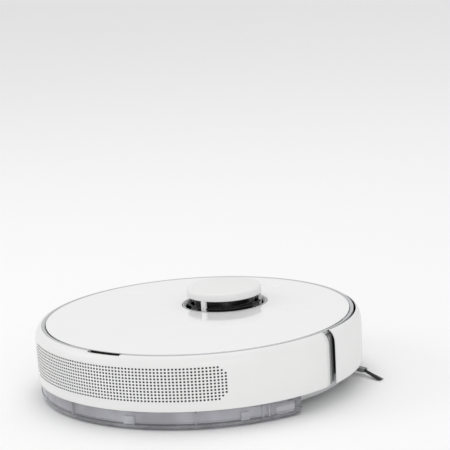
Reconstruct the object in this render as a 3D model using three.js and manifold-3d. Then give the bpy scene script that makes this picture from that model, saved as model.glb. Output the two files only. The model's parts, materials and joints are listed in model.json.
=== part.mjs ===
// Robot vacuum cleaner: a round body on two sprung drive wheels and a caster, with a lidar turret, a lid over
// the dust bin, a floating front bumper, and a water tank with a mop pad clipped under the back.
// Millimetres, +Z up, +Y towards the front bumper, +X to the machine's right. The origin is on the floor
// under the middle of the round body. Angles round the body are in degrees from the back (-Y) towards the
// right (+X).
import * as THREE from "three";
import { mergeVertices } from "three/addons/utils/BufferGeometryUtils.js";
import Module from "manifold-3d";

const wasm = await Module();
wasm.setup();

// Driving dimensions.
const BODY_R = 175; // outside of the round body
const WALL = 2.5; // moulded wall thickness
const TOP_Z = 78; // top of the lid
const WALL_LOW_Z = 20.4; // lower edge of the white outer wall
const UNDER_Z = 10; // underside, which is also the ground clearance
const FLOOR_T = 2.6; // thickness of the underside plate
const CORE_R = 165.5; // outside of the inner frame
const LID_R = 162.8;
const RING_R = 167.2; // outside of the trim ring
const GAP = 0.4; // air between pieces that touch
const RIM = 48; // flats round the body
const SEAM_BACK_Y = -15; // where the back shell ends
const SEAM_FRONT_Y = -4; // where the bumper starts
const BUMPER_LIP = { r: 168.2, y: 3.2 }; // the bumper's lip is round the ring, further ahead by its travel

const TURRET = { x: 0, y: 52, r: 40.6, top: 96.5, collarR: 46 };
const LID_SEAM = { y: 52, dip: 11, from: 100, to: 140 }; // straight in the middle, dipping back at its ends
const LID_HINGE = { y: 52, z: 78.6, armR0: 9.5, armR1: 12.5, x0: 54.6, x1: 61.8 };
const BUTTON = { x: 12, y: 132, w: 19, d: 9 };

const WHEEL = { x: 114, z: 35, r: 35, w: 22, rimR: 27 };
const ARM = { y: -48, z: 46, x0: 87, x1: 101, pinR: 3 }; // suspension pivot and the arm's thickness
const CASTER = { y: 134, cupR: 24.5, wheelR: 14, trail: 8 };
const BRUSH = { y: 52, z: 22.5, r: 20.5, half: 76, coreR: 9 };
const DECK_PIVOT = { y: 82, z: 29, r: 2.5 };
const SIDE_BRUSH = { x: 107, y: 105, reach: 73, armR: 44, turn: -15 };

const TANK = { topZ: 20, lowZ: 3.9, topR: 172.4, lowR: 171, frontY: -73.5, wingX: 134, wingY: -52 };
const SKIRT = { low: 1.6, r: 164.5 }; // the tank's rim, which reaches down round the mop pad
const LATCH = { from: 61, to: 68.5, low: 6, high: 17.6, inner: 166.4 };
const MOP = { r: 162, frontY: -82, padTop: 2.2 };
const BIN = { x: 64, y0: -78, y1: 10, low: 28.5, top: 70 };
const FAN = { x: 42, y: -118, r: 36, low: 29, top: 67 };

// Materials.
const finish = (color, roughness, metalness = 0, opacity = 1) =>
  new THREE.MeshStandardMaterial({ color, roughness, metalness, opacity, transparent: opacity < 1 });
const glossWhite = finish(0xf4f4f4, 0.12);
const satinWhite = finish(0xf1f1f0, 0.4);
const ringGrey = finish(0xbfc1c3, 0.35);
const linerGrey = finish(0x86888b, 0.5);
const baseGrey = finish(0xd6d7d8, 0.55);
const frameGrey = finish(0x4a4c50, 0.6);
const darkPlastic = finish(0x1d1e20, 0.4);
const darkWindow = finish(0x08080a, 0.08);
const smoke = finish(0xa2a3aa, 0.12, 0, 0.5);
const rubber = finish(0x2b2c2e, 0.8);
const cloth = finish(0xe9e9e6, 0.95);
const filterPaper = finish(0xe6e8ea, 0.9);
const board = finish(0x1f5a3c, 0.5);
const steel = finish(0xb9bbbe, 0.3, 1);
const copper = finish(0xc9a04c, 0.3, 1);
const accent = finish(0xe0762b, 0.5);
const bristle = finish(0x3a3b3d, 0.9);

// A closed geometry as a solid, turned right side out if its faces point inwards.
function solid(geometry) {
  const loose = geometry.index ? geometry.toNonIndexed() : geometry;
  const bare = new THREE.BufferGeometry().setAttribute("position", loose.getAttribute("position"));
  const merged = mergeVertices(bare, 1e-4);
  const triVerts = new Uint32Array(merged.index.array);
  const vertProperties = merged.attributes.position.array;
  const made = new wasm.Manifold(new wasm.Mesh({ numProp: 3, vertProperties, triVerts }));
  if (made.volume() >= 0) return made;
  const turned = triVerts.map((_, i) => triVerts[i % 3 === 0 ? i : i % 3 === 1 ? i + 1 : i - 1]);
  return new wasm.Manifold(new wasm.Mesh({ numProp: 3, vertProperties, triVerts: turned }));
}

const cut = (from, ...tools) => tools.reduce((rest, tool) => rest.subtract(tool), from);
const join = (first, ...others) => others.reduce((all, other) => all.add(other), first);

// Basic solids, each given by where it lies.
function box(x0, x1, y0, y1, z0, z1) {
  const block = new THREE.BoxGeometry(x1 - x0, y1 - y0, z1 - z0);
  return solid(block.translate((x0 + x1) / 2, (y0 + y1) / 2, (z0 + z1) / 2));
}

function upright(r, x, y, z0, z1, sides = 24) {
  const drum = new THREE.CylinderGeometry(r, r, z1 - z0, sides);
  return solid(drum.rotateX(Math.PI / 2).translate(x, y, (z0 + z1) / 2));
}

function across(r, x0, x1, y, z, sides = 24) {
  const drum = new THREE.CylinderGeometry(r, r, x1 - x0, sides);
  return solid(drum.rotateZ(Math.PI / 2).translate((x0 + x1) / 2, y, z));
}

// A profile of [radius, height] points turned about an upright axis.
function turned(profile, sides = 24, x = 0, y = 0) {
  const points = [...profile, profile[0]].map(([r, z]) => new THREE.Vector2(r, z));
  const lathe = new THREE.LatheGeometry(points, sides);
  return solid(lathe.rotateX(Math.PI / 2).translate(x, y, 0));
}

// A flat outline, drawn in X and Y, raised from z0 to z1.
function slab(shape, z0, z1, curveSegments = 16) {
  const raised = new THREE.ExtrudeGeometry(shape, { depth: z1 - z0, bevelEnabled: false, curveSegments });
  return solid(raised.translate(0, 0, z0));
}

// A flat outline, drawn in Y and Z, carried from x0 to x1.
function sideways(shape, x0, x1, curveSegments = 12) {
  const raised = new THREE.ExtrudeGeometry(shape, { depth: x1 - x0, bevelEnabled: false, curveSegments });
  return solid(raised.rotateX(Math.PI / 2).rotateZ(Math.PI / 2).translate(x0, 0, 0));
}

function roundedRect(x0, x1, y0, y1, r) {
  const s = new THREE.Shape();
  s.moveTo(x0 + r, y0).lineTo(x1 - r, y0).absarc(x1 - r, y0 + r, r, -Math.PI / 2, 0);
  s.lineTo(x1, y1 - r).absarc(x1 - r, y1 - r, r, 0, Math.PI / 2);
  s.lineTo(x0 + r, y1).absarc(x0 + r, y1 - r, r, Math.PI / 2, Math.PI);
  s.lineTo(x0, y0 + r).absarc(x0 + r, y0 + r, r, Math.PI, 1.5 * Math.PI);
  return s;
}

const around = (degrees) => {
  const a = THREE.MathUtils.degToRad(degrees);
  return [Math.sin(a), -Math.cos(a)];
};

// The part of a ring between two angles, as a block with curved inside and outside.
function arcBlock(r0, r1, from, to, z0, z1, steps = 6) {
  const s = new THREE.Shape();
  for (let i = 0; i <= steps; i++) {
    const [x, y] = around(from + ((to - from) * i) / steps);
    if (i) s.lineTo(r1 * x, r1 * y);
    else s.moveTo(r1 * x, r1 * y);
  }
  for (let i = steps; i >= 0; i--) {
    const [x, y] = around(from + ((to - from) * i) / steps);
    s.lineTo(r0 * x, r0 * y);
  }
  return slab(s, z0, z1);
}

const behind = (y) => box(-200, 200, -200, y, -10, 110);
const ahead = (y) => box(-200, 200, y, 200, -10, 110);
const mirrored = (side, make) => (side > 0 ? make : make.mirror([1, 0, 0]));

const root = new THREE.Group();

// Adds a named piece whose own origin is the given point of the machine.
function piece(name, shape, material, [x, y, z] = [0, 0, 0]) {
  const { vertProperties, triVerts, numProp } = shape.translate([-x, -y, -z]).getMesh();
  const position = new Float32Array((vertProperties.length / numProp) * 3);
  for (let i = 0; i < position.length / 3; i++) {
    position.set(vertProperties.subarray(i * numProp, i * numProp + 3), i * 3);
  }
  const geometry = new THREE.BufferGeometry();
  geometry.setAttribute("position", new THREE.BufferAttribute(position, 3));
  geometry.setIndex(new THREE.BufferAttribute(triVerts, 1));
  geometry.computeVertexNormals();
  const made = new THREE.Mesh(geometry, material);
  made.name = name;
  made.position.set(x, y, z);
  root.add(made);
}

// The outer wall's section: slightly tapered below, rounded over to a lip at the top.
function wallSection(lipR) {
  const shoulder = { r: 165, z: 64, across: 10, up: 14 };
  const steps = 5;
  const section = (inset) => {
    const a = shoulder.across - inset;
    const b = shoulder.up - inset;
    const end = Math.acos((lipR - shoulder.r) / a);
    const arc = Array.from({ length: steps + 1 }, (_, i) => {
      const t = (end * i) / steps;
      return [shoulder.r + a * Math.cos(t), shoulder.z + b * Math.sin(t)];
    });
    return [[BODY_R - 1 - inset, WALL_LOW_Z], [BODY_R - 0.3 - inset, 40], ...arc];
  };
  return [...section(0), ...section(WALL).reverse()];
}

// The slot for a finger behind the lid's edge.
const SLOT_HALF = 21;
const fingerSlot = box(-SLOT_HALF, SLOT_HALF, -169.3, -162.9, 73.5, 80);

function rearShell() {
  const ring = turned(wallSection(RING_R + GAP), RIM);
  piece("rear_shell", cut(ring.intersect(behind(SEAM_BACK_Y)), fingerSlot), satinWhite);
}

function bumper() {
  const clearance = upright(BUMPER_LIP.r, 0, BUMPER_LIP.y, 60, 90, RIM);
  const ring = cut(turned(wallSection(BUMPER_LIP.r), RIM), clearance);
  const window = (extra) => arcBlock(160, 180, 160 - extra, 200 + extra, 44 - extra, 60 + extra, 12);
  piece("bumper_shell", cut(ring.intersect(ahead(SEAM_FRONT_Y)), window(0.2)), satinWhite);
  const pane = turned([[172.9, 40], [174.9, 40], [174.9, 64], [172.9, 64]], RIM);
  piece("bumper_window", pane.intersect(window(-0.2)), darkWindow);
}

// Grey strips that close the gap between the back shell and the bumper, each with a raised land by the shell.
function seamLiners() {
  const strip = turned([[166, 21.5], [169, 21.5], [169, 73], [166, 73]], RIM);
  const land = turned([[168, 22], [173.2, 22], [173.2, 72], [168, 72]], RIM);
  const slice = join(
    strip.intersect(box(0, 200, SEAM_BACK_Y - 5, SEAM_FRONT_Y + 4, 0, 100)),
    land.intersect(box(0, 200, SEAM_BACK_Y + GAP, SEAM_BACK_Y + 5.4, 0, 100)),
  );
  piece("seam_liner_right", slice, linerGrey);
  piece("seam_liner_left", slice.mirror([1, 0, 0]), linerGrey);
}

function trimRing() {
  const bore = LID_R + GAP;
  const outside = [[RING_R, 73.7], [RING_R, 77.6], [RING_R - 0.5, TOP_Z]];
  const section = [[bore, 73.7], ...outside, [165.4, TOP_Z], [bore, 76.2]];
  piece("trim_ring", cut(turned(section, RIM), fingerSlot), ringGrey);
}

// The fixed underside: a pan with a raised part over the water tank, wells for the wheels and brushes, the
// caster's cup, and the posts that carry the wheel arms and the brush deck.
function chassisBase() {
  const top = UNDER_Z + FLOOR_T;
  const rim = 26.6;
  const outline = turned([[0, UNDER_Z], [159, UNDER_Z], [CORE_R, 16.5], [CORE_R, rim], [0, rim]], RIM);
  const hollow = turned([[0, top], [158, top], [CORE_R - WALL, 17.5], [CORE_R - WALL, 30], [0, 30]], RIM);
  const recess = join(
    box(-200, 200, -200, TANK.frontY + 0.6, 0, TANK.topZ + 1),
    box(TANK.wingX - 0.6, 200, -200, TANK.wingY + 0.6, 0, TANK.topZ + 1),
    box(-200, -TANK.wingX + 0.6, -200, TANK.wingY + 0.6, 0, TANK.topZ + 1),
  );
  const roofZone = join(
    box(-200, 200, -200, TANK.frontY + 3, UNDER_Z, rim),
    box(TANK.wingX - 3, 200, -200, TANK.wingY + 3, UNDER_Z, rim),
    box(-200, -TANK.wingX + 3, -200, TANK.wingY + 3, UNDER_Z, rim),
  ).intersect(outline);
  let pan = join(cut(outline, hollow), roofZone);
  const cup = upright(CASTER.cupR + WALL, 0, CASTER.y, UNDER_Z, 34);
  const cupBore = join(upright(CASTER.cupR, 0, CASTER.y, 0, 31.5), upright(4.3, 0, CASTER.y, 0, 40, 20));
  const brushMouth = box(-82.6, 95.2, 24.5, 79.5, 0, 22);
  const sideBrushHole = upright(7, SIDE_BRUSH.x, SIDE_BRUSH.y, 0, 20, 20);
  pan = cut(join(pan, cup), recess, cupBore, brushMouth, sideBrushHole);
  for (const side of [-1, 1]) {
    const well = box(85.5, 128, -58, 39, 0, rim - 2).intersect(box(85.5, 128, -70, 39, 0, 40));
    const sensor = (x, y, w, d) => box(x - w / 2, x + w / 2, y - d / 2, y + d / 2, 0, 20);
    const contact = sensor(34, 104, 22.8, 8.8);
    const holes = [well, sensor(62, 134, 22.8, 9.8), sensor(140, 58, 9.8, 20.8), contact];
    pan = cut(pan, ...holes.map((hole) => mirrored(side, hole)));
    const pivotPost = (x0, x1) => box(x0, x1, ARM.y - 6, ARM.y + 4.5, UNDER_Z, ARM.z + 6);
    const posts = join(pivotPost(82.4, 85.8), pivotPost(102.2, 105.4));
    const armPosts = cut(posts, across(ARM.pinR + 0.3, 70, 120, ARM.y, ARM.z, 16));
    const beam = box(82.4, 105.4, ARM.y - 10, ARM.y - 6, UNDER_Z, 24);
    const pivotHole = across(DECK_PIVOT.r + 0.4, 20, 50, DECK_PIVOT.y, DECK_PIVOT.z, 16);
    const deckPost = cut(box(33.6, 37, 79.6, 86, top - 1, 34), pivotHole);
    pan = join(pan, mirrored(side, join(armPosts, beam)), mirrored(side, deckPost));
  }
  piece("chassis_base", pan, baseGrey);
}

// The inner frame: the round wall, the deck round the dust bin, the lower deck under the
// turret and the guides for the lid's arms.
function upperFrame() {
  const wall = turned([[CORE_R - 3, 27], [CORE_R, 27], [CORE_R, 73.3], [CORE_R - 3, 73.3]], RIM);
  const disc = (z0, z1) => upright(CORE_R - 1, 0, 0, z0, z1, RIM);
  const rearDeck = disc(71.3, 73.3).intersect(behind(14));
  const frontDeck = disc(58, 60).intersect(ahead(12));
  const riser = box(-163, 163, 12, 14, 58, 73.3);
  let frame = join(wall, rearDeck, frontDeck, riser);
  const binHole = slab(roundedRect(-66.5, 66.5, -80.5, 12.4, 9), 60, 80);
  frame = cut(frame, binHole, box(-66.5, 66.5, 0, 12.3, 50, 80));
  for (const side of [-1, 1]) {
    const hingeGuide = cut(box(52.4, 64, 40, 61, 59, 72.6), hingeArm(0.4, -170, -20));
    frame = join(cut(frame, mirrored(side, box(85.5, 129, 8, 41, 50, 71.2))), mirrored(side, hingeGuide));
  }
  piece("upper_frame", frame, frameGrey);
}

// The lid turns on two curved arms centred on its front edge, so that no pin shows. Each slides in a curved
// channel.
function hingeArm(clearance, from, to) {
  const { y, z, armR0, armR1, x0, x1 } = LID_HINGE;
  const [a, b] = [THREE.MathUtils.degToRad(from), THREE.MathUtils.degToRad(to)];
  const arc = new THREE.Shape();
  arc.absarc(y, z, armR1 + clearance, a, b).absarc(y, z, armR0 - clearance, b, a, true);
  return sideways(arc, x0 - clearance, x1 + clearance, 8);
}

// What lies behind the seam between the lid and the fixed front plate, either way by a margin.
function lidZone(margin) {
  const { y, dip, from, to } = LID_SEAM;
  const zone = new THREE.Shape().moveTo(200, -200).lineTo(200, y - dip + margin);
  const steps = 6;
  for (let i = 0; i <= steps; i++) {
    const x = to + ((from - to) * i) / steps;
    zone.lineTo(x, y - dip * THREE.MathUtils.smoothstep(x, from, to) + margin);
  }
  for (let i = steps; i >= 0; i--) {
    const x = to + ((from - to) * i) / steps;
    zone.lineTo(-x, y - dip * THREE.MathUtils.smoothstep(x, from, to) + margin);
  }
  return slab(zone.lineTo(-200, y - dip + margin).lineTo(-200, -200), 60, 90);
}

function lid() {
  const plate = upright(LID_R, 0, 0, 75, TOP_Z, RIM);
  const collarHole = upright(TURRET.collarR + 0.6, TURRET.x, TURRET.y, 60, 90, 36);
  let panel = cut(plate.intersect(lidZone(-0.3)), collarHole);
  for (const side of [-1, 1]) panel = join(panel, mirrored(side, hingeArm(0, -162, -60)));
  piece("lid_panel", panel, glossWhite, [0, LID_HINGE.y, LID_HINGE.z]);
}

function frontPlate() {
  const plate = upright(LID_R, 0, 0, 75, TOP_Z, RIM);
  const holes = [-1, 1].map((side) => {
    const x = side * BUTTON.x;
    const [w, d] = [BUTTON.w / 2 + 0.3, BUTTON.d / 2 + 0.3];
    return slab(roundedRect(x - w, x + w, BUTTON.y - d, BUTTON.y + d, d - 0.01), 70, 80, 6);
  });
  const collarHole = upright(TURRET.collarR + 0.6, TURRET.x, TURRET.y, 60, 90, 36);
  piece("front_plate", cut(plate, lidZone(0.4), collarHole, ...holes), glossWhite);
}

function buttons() {
  for (const [name, side] of [["power_button", 1], ["home_button", -1]]) {
    const x = side * BUTTON.x;
    const [w, d] = [BUTTON.w / 2, BUTTON.d / 2];
    const cap = slab(roundedRect(x - w, x + w, BUTTON.y - d, BUTTON.y + d, d - 0.01), 74, TOP_Z + 0.2, 6);
    const stem = upright(2, x, BUTTON.y, 66, 74.5, 12);
    piece(name, join(cap, stem), glossWhite, [x, BUTTON.y, TOP_Z]);
  }
}

function lidar() {
  const { x, y, r, top, collarR } = TURRET;
  const [bore, lip] = [r + 1.8, TOP_Z + 0.3];
  const collar = [[bore, 73.8], [collarR, 73.8], [collarR, lip], [collarR - 1.2, lip], [bore, 76]];
  piece("turret_collar", turned(collar, 36, x, y), ringGrey, [x, y, TOP_Z]);
  const seat = join(upright(37.2, x, y, 60.4, 72.6, 28), upright(30, x, y, 72, 78, 24));
  const motorPod = slab(roundedRect(-66, -20, 72, 98, 8), 60.4, 72, 6);
  piece("lidar_base", cut(join(seat, motorPod), upright(4.3, x, y, 50, 90, 16)), darkPlastic, [x, y, 60]);
  const spindle = upright(4, x, y, 64, 80, 16);
  const table = upright(33.5, x, y, 79, 81, 32);
  const optics = slab(roundedRect(x - 22, x + 22, y - 27, y + 20, 7), 80.8, 87, 4);
  piece("lidar_rotor", join(spindle, table, optics), darkPlastic, [x, y, 79]);
  const edge = [[r, 88.2], [r, top - 2.6], [r - 0.9, top - 0.8], [r - 2.6, top]];
  const crown = [[0, 89], [37.4, 89], [37.4, 88.2], ...edge, [0, top]];
  const foot = turned([[37.4, 79.2], [r, 79.2], [r, 80.2], [37.4, 80.2]], 36, x, y);
  const pillars = [0, 120, 240].map((a) => {
    const post = box(x - 3, x + 3, y - r + 0.3, y - 37.6, 74.6, 88.6);
    return post.translate([-x, -y, 0]).rotate([0, 0, a]).translate([x, y, 0]);
  });
  piece("turret_cap", join(turned(crown, 36, x, y), foot, ...pillars), satinWhite, [x, y, 79.2]);
}

// Each drive wheel hangs on an arm that swings down from a pivot at its back end, pushed by a coil spring.
function driveUnits() {
  for (const [name, side] of [["right", 1], ["left", -1]]) {
    const housing = new THREE.Shape();
    housing.absarc(0, WHEEL.z, 26, THREE.MathUtils.degToRad(-90), THREE.MathUtils.degToRad(100));
    housing.absarc(ARM.y, ARM.z, 7.5, THREE.MathUtils.degToRad(100), THREE.MathUtils.degToRad(250));
    const trunnions = across(ARM.pinR, 82.6, 105.2, ARM.y, ARM.z, 16);
    const axle = across(4, ARM.x1 - 1, WHEEL.x + 6, 0, WHEEL.z, 16);
    const arm = join(sideways(housing, ARM.x0, ARM.x1), trunnions, axle);
    piece(`wheel_arm_${name}`, mirrored(side, arm), darkPlastic, [side * 94, ARM.y, ARM.z]);
    const motor = join(across(12, 68, 84.4, -18, 50, 24), across(4, 84, 86.6, -18, 50, 12));
    piece(`wheel_motor_${name}`, mirrored(side, motor), steel, [side * 77, -18, 50]);

    const [x0, x1] = [WHEEL.x - WHEEL.w / 2, WHEEL.x + WHEEL.w / 2];
    const rim = across(WHEEL.rimR - GAP, x0 + 1, x1 - 1, 0, WHEEL.z, 28);
    const dish = across(22, x1 - 6, x1 + 1, 0, WHEEL.z, 24);
    const hub = join(cut(rim, dish), across(9, x0 + 2, x1 - 2, 0, WHEEL.z, 20));
    const bored = cut(hub, across(4.3, x0 - 1, WHEEL.x + 6.4, 0, WHEEL.z, 16));
    piece(`wheel_hub_${name}`, mirrored(side, bored), linerGrey, [side * WHEEL.x, 0, WHEEL.z]);
    piece(`wheel_tyre_${name}`, mirrored(side, tyre(x0, x1)), rubber, [side * WHEEL.x, 0, WHEEL.z]);

    const coil = spring(5, 1.1, 9.4, 3.2);
    piece(`arm_spring_${name}`, coil.translate([side * 94, 4, 61.6]), steel, [side * 94, 4, 71]);
  }
}

// A tyre whose tread is a row of blocks, cut as a toothed outline.
function tyre(x0, x1) {
  const treads = 18;
  const outline = new THREE.Shape();
  for (let i = 0; i < treads; i++) {
    const radii = [WHEEL.r, WHEEL.r, WHEEL.r - 1.6, WHEEL.r - 1.6];
    radii.forEach((r, k) => {
      const a = (2 * Math.PI * (i - 0.3 + [0, 0.6, 0.68, 0.92][k])) / treads - Math.PI / 2;
      const p = [r * Math.cos(a), WHEEL.z + r * Math.sin(a)];
      if (i + k === 0) outline.moveTo(...p);
      else outline.lineTo(...p);
    });
  }
  return cut(sideways(outline, x0, x1), across(WHEEL.rimR, x0 - 1, x1 + 1, 0, WHEEL.z, 28));
}

// An upright coil spring of a given height, standing on z = 0.
function spring(coilR, wireR, height, turns) {
  class Helix extends THREE.Curve {
    getPoint(t, target = new THREE.Vector3()) {
      const a = 2 * Math.PI * turns * t;
      return target.set(coilR * Math.cos(a), coilR * Math.sin(a), wireR + (height - 2 * wireR) * t);
    }
  }
  const wire = new THREE.Shape().absarc(0, 0, wireR, 0, 2 * Math.PI);
  const steps = Math.round(turns * 8);
  const options = { extrudePath: new Helix(), steps, curveSegments: 2, bevelEnabled: false };
  return solid(new THREE.ExtrudeGeometry(wire, options));
}

function caster() {
  const { y, cupR, wheelR, trail } = CASTER;
  const axleY = y - trail;
  const drum = join(upright(cupR - 0.8, 0, y, 9, 31, 28), upright(4, 0, y, 30.5, 37, 16));
  const slot = box(-8.4, 8.4, axleY - wheelR - 1.4, axleY + wheelR + 1.4, 0, 2 * wheelR + 1.2);
  const swivel = cut(drum, slot, across(1.9, -30, 30, axleY, wheelR, 14));
  piece("caster_swivel", swivel, darkPlastic, [0, y, 24]);
  const wheel = join(across(wheelR, -6.5, 6.5, axleY, wheelR), across(1.6, -15, 15, axleY, wheelR, 12));
  piece("caster_wheel", wheel, rubber, [0, axleY, wheelR]);
}

// The brush deck is an arched tunnel over the roller, with a throat at the back that leads to the dust bin.
function brushDeck() {
  const { y, z, half } = BRUSH;
  const arch = (r, low) => {
    const s = new THREE.Shape();
    s.moveTo(y + r, low).lineTo(y + r, z + 0.5).absarc(y, z + 0.5, r, 0, Math.PI).lineTo(y - r, low);
    return s;
  };
  const bore = sideways(arch(22.6, 0), -half - 1.4, half + 1.4);
  const tunnel = cut(sideways(arch(25, 11.4), -half - 4, half + 4), bore);
  const throat = box(-38, 38, 14.8, 32, 30, 46);
  const outside = cut(throat, sideways(arch(24.8, 0), -half - 3.8, half + 3.8));
  const throatBore = box(-35.6, 35.6, 10, 36, 32.4, 43.6);
  let deck = cut(join(tunnel, outside), throatBore, across(6.4, -100, 100, y, z, 24));
  for (const side of [-1, 1]) {
    const pin = across(DECK_PIVOT.r, 32, 36.8, DECK_PIVOT.y, DECK_PIVOT.z, 16);
    const lug = join(box(28.6, 32.8, 74, 85, 24, 34), pin);
    deck = join(deck, mirrored(side, lug));
  }
  piece("brush_deck", deck, frameGrey, [0, y, z]);

  const gearbox = new THREE.Shape();
  gearbox.absarc(y, 26, 12.8, Math.PI / 2, 1.5 * Math.PI).absarc(88, 26, 12.8, -Math.PI / 2, Math.PI / 2);
  const [x0, x1] = [half + 5, half + 17];
  const drive = cut(sideways(gearbox, x0, x1), across(3.4, half, half + 10, y, z, 16));
  piece("brush_drive", join(drive, across(10.8, x0 - 38, x0 + 1, 88, 26, 24)), darkPlastic, [x0, y, z]);
}

// The roller: rubber blades and bristle rows that wind round the core, drawn as a star twisted along its
// length.
function roller() {
  const { y, z, r, half, coreR } = BRUSH;
  const blades = 6;
  const star = new THREE.Shape();
  const blade = [[coreR, -0.5], [coreR + 1, -0.16], [r, -0.07], [r, 0.07], [coreR + 1, 0.16]];
  for (let i = 0; i < blades; i++) {
    blade.forEach(([radius, turn], k) => {
      const a = (2 * Math.PI * (i + turn)) / blades;
      if (i + k === 0) star.moveTo(radius * Math.cos(a), radius * Math.sin(a));
      else star.lineTo(radius * Math.cos(a), radius * Math.sin(a));
    });
  }
  const raised = new THREE.ExtrudeGeometry(star, { depth: 2 * half - 4, steps: 6, bevelEnabled: false });
  const at = raised.getAttribute("position");
  for (let i = 0; i < at.count; i++) {
    const along = at.getZ(i) / (2 * half - 4) - 0.5;
    const turn = 1.5 * Math.abs(along);
    const [px, py] = [at.getX(i), at.getY(i)];
    at.setX(i, px * Math.cos(turn) - py * Math.sin(turn));
    at.setY(i, px * Math.sin(turn) + py * Math.cos(turn));
  }
  const star3d = solid(raised.rotateY(Math.PI / 2).translate(2 - half, y, z));
  const collars = across(6, -half + 0.4, half - 0.4, y, z, 20);
  const stubs = join(collars, across(3, -half - 2.6, half + 9, y, z, 12));
  piece("brush_roller", join(star3d, stubs), rubber, [0, y, z]);
  const bush = cut(across(6, -half - 6, -half - 0.2, y, z, 20), across(3.3, -half - 3, half, y, z, 16));
  piece("brush_bearing", bush, accent, [-half - 3, y, z]);
}

function brushGuard() {
  const { y, half } = BRUSH;
  const plate = slab(roundedRect(-half - 5, half + 5, y - 26.4, y + 26.4, 6), 8.4, 11, 4);
  const mouth = slab(roundedRect(-half + 1, half - 1, y - 20.5, y + 17.6, 4), 0, 20, 4);
  const notches = [-1, 1].map((side) => box(side * 62 - 8, side * 62 + 8, y + 19.4, y + 30, 0, 20));
  piece("brush_guard", cut(plate, mouth, ...notches), darkPlastic, [0, y, 8.4]);
  for (const [name, side] of [["guard_latch_right", 1], ["guard_latch_left", -1]]) {
    const tab = slab(roundedRect(side * 62 - 7.4, side * 62 + 7.4, y + 21.6, y + 25.8, 1.6), 8.6, 10.9, 4);
    piece(name, tab, accent, [side * 62, y + 23.7, 8.6]);
  }
}

function sideBrush() {
  const { x, y, reach, armR } = SIDE_BRUSH;
  const spokes = [0, 120, 240].map((a) => a + SIDE_BRUSH.turn);
  const allRound = (shape) => join(...spokes.map((a) => shape.rotate([0, 0, a]))).translate([x, y, 0]);
  // The bristles' roots meet in a ring buried in the hub, in a channel a little wider than they are.
  const roots = (c) =>
    join(
      allRound(box(7, armR + 1, -1.3 - c, 1.3 + c, 5.2 - c, 6.8 + c)),
      cut(upright(8.6 + c, x, y, 5.2 - c, 6.8 + c, 24), upright(6.4 - c, x, y, 0, 10, 24)),
    );
  const arms = allRound(box(0, armR, -3.4, 3.4, 4, 8));
  const disc = join(upright(11, x, y, 3.4, 9.4, 28), upright(6, x, y, 9, 17, 16), arms);
  const hub = cut(disc, upright(3.4, x, y, 0, 4.8, 16), upright(1.8, x, y, 0, 12, 12), roots(0.3));
  piece("side_brush_hub", hub, linerGrey, [x, y, 6]);
  const screw = join(upright(3, x, y, 3.2, 4.6, 16), upright(1.5, x, y, 4, 11.6, 12));
  piece("side_brush_screw", screw, steel, [x, y, 3.2]);
  const profile = new THREE.Shape();
  profile.moveTo(armR + 0.4, 4.8).lineTo(60, 0.6).lineTo(reach, 0.3);
  profile.lineTo(reach, 1.3).lineTo(60, 1.6).lineTo(armR + 0.4, 7.4);
  const plan = new THREE.Shape();
  plan.moveTo(armR, -2.4).lineTo(reach + 0.1, -4).lineTo(reach + 0.1, 4).lineTo(armR, 2.4);
  const tuft = sideways(profile, -4.1, 4.1).rotate([0, 0, -90]).intersect(slab(plan, 0, 20));
  piece("side_brush_bristles", join(allRound(tuft), roots(0)), bristle, [x, y, 4]);
  const motor = cut(upright(9.6, x, y, 14.4, 46, 20), upright(6.6, x, y, 0, 17.6, 16));
  piece("side_brush_motor", motor, darkPlastic, [x, y, 14.4]);
}

// The dust bin: a clear box with its mouth at the front, a filter in its back wall and a lid with a grip.
function dustBin() {
  const { x, y0, y1, low, top } = BIN;
  const shell = cut(
    slab(roundedRect(-x, x, y0, y1, 8), low, top, 5),
    slab(roundedRect(-x + 2, x - 2, y0 + 2, y1 - 2, 6), low + 2, top + 1, 5),
    box(-34, 34, y1 - 4, y1 + 1, 33, 43),
    box(-44, 44, y0 - 1, y0 + 4, 38, 62),
  );
  piece("dust_bin", shell, smoke, [0, y0, low]);
  const frame = box(-43.4, 43.4, y0 - 1, y0 + 8, 38.6, 61.4);
  const pleat = box(-40, -36.4, y0 + 3, y0 + 9, 41, 59);
  const pleats = Array.from({ length: 11 }, (_, i) => pleat.translate([7.2 * i, 0, 0]));
  piece("hepa_filter", cut(frame, ...pleats), filterPaper, [0, y0, 50]);
  const cover = slab(roundedRect(-x, x, y0, y1, 8), top + 0.4, 73.4, 5);
  const grip = slab(roundedRect(-28, 28, -46, -20, 10), 71.8, 80, 5);
  piece("bin_lid", cut(cover, grip), frameGrey, [0, y0, top]);
}

function suctionFan() {
  const { x, y, r, low, top } = FAN;
  const inner = [[0, low + 2], [r - 2, low + 2], [r - 2, top - 2], [0, top - 2]];
  const outer = [[0, top], [r, top], [r, low], [0, low]];
  const can = cut(
    turned([...inner, ...outer], 40, x, y),
    box(x - 24, x + 8, y + 20, y + 50, 42, 60),
    box(x - 16, x + 16, y - 50, y - 24, 40, 60),
  );
  piece("fan_housing", can, darkPlastic, [x, y, low]);
  const blade = box(9, 28, -0.8, 0.8, 47.8, 58);
  const blades = Array.from({ length: 9 }, (_, i) => blade.rotate([0, 0, 40 * i]).translate([x, y, 0]));
  const disc = join(upright(29, x, y, 46, 48, 32), upright(9.4, x, y, 46, 59, 20), ...blades);
  piece("fan_impeller", disc, satinWhite, [x, y, 46]);
}

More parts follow.
